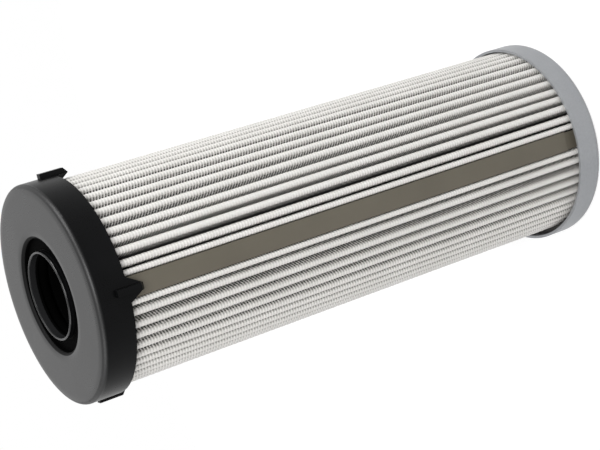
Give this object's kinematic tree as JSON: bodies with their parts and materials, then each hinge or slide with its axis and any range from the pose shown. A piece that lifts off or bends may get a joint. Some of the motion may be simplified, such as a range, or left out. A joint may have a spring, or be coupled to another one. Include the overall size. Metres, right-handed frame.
{
  "type": "hydraulic filter element",
  "caption": "Pleated hydraulic filter element: black moulded end cap with a sealed spigot bore and pointed lugs, wire mesh pack with a long metal seam, closed grey end cup.",
  "frame": {"origin": "centre of the closed end cup's base, where the element stands", "axes": "+Z along the element towards the open end; the pack's long seam faces -Y"},
  "size_m": [0.0732, 0.0732, 0.195],
  "materials": {
    "black_plastic": "moulded, satin",
    "seal_rubber": "smooth",
    "tube_steel": "plain perforated sheet",
    "outer_wire": "coated woven wire",
    "fleece": "nonwoven",
    "glass_media": "glass fibre sheet",
    "inner_wire": "woven wire",
    "clip_metal": "dull coated strip",
    "adhesive": "cast resin",
    "cup_metal": "satin grey"
  },
  "bodies": {
    "root": {"open_end_cap": "black_plastic", "bore_seal": "seal_rubber", "support_tube": "tube_steel", "outer_mesh": "outer_wire", "outer_fleece": "fleece", "filter_media": "glass_media", "inner_fleece": "fleece", "inner_mesh": "inner_wire", "seam_clip": "clip_metal", "upper_potting": "adhesive", "lower_potting": "adhesive", "closed_end_cap": "cup_metal"}
  },
  "joints": []
}
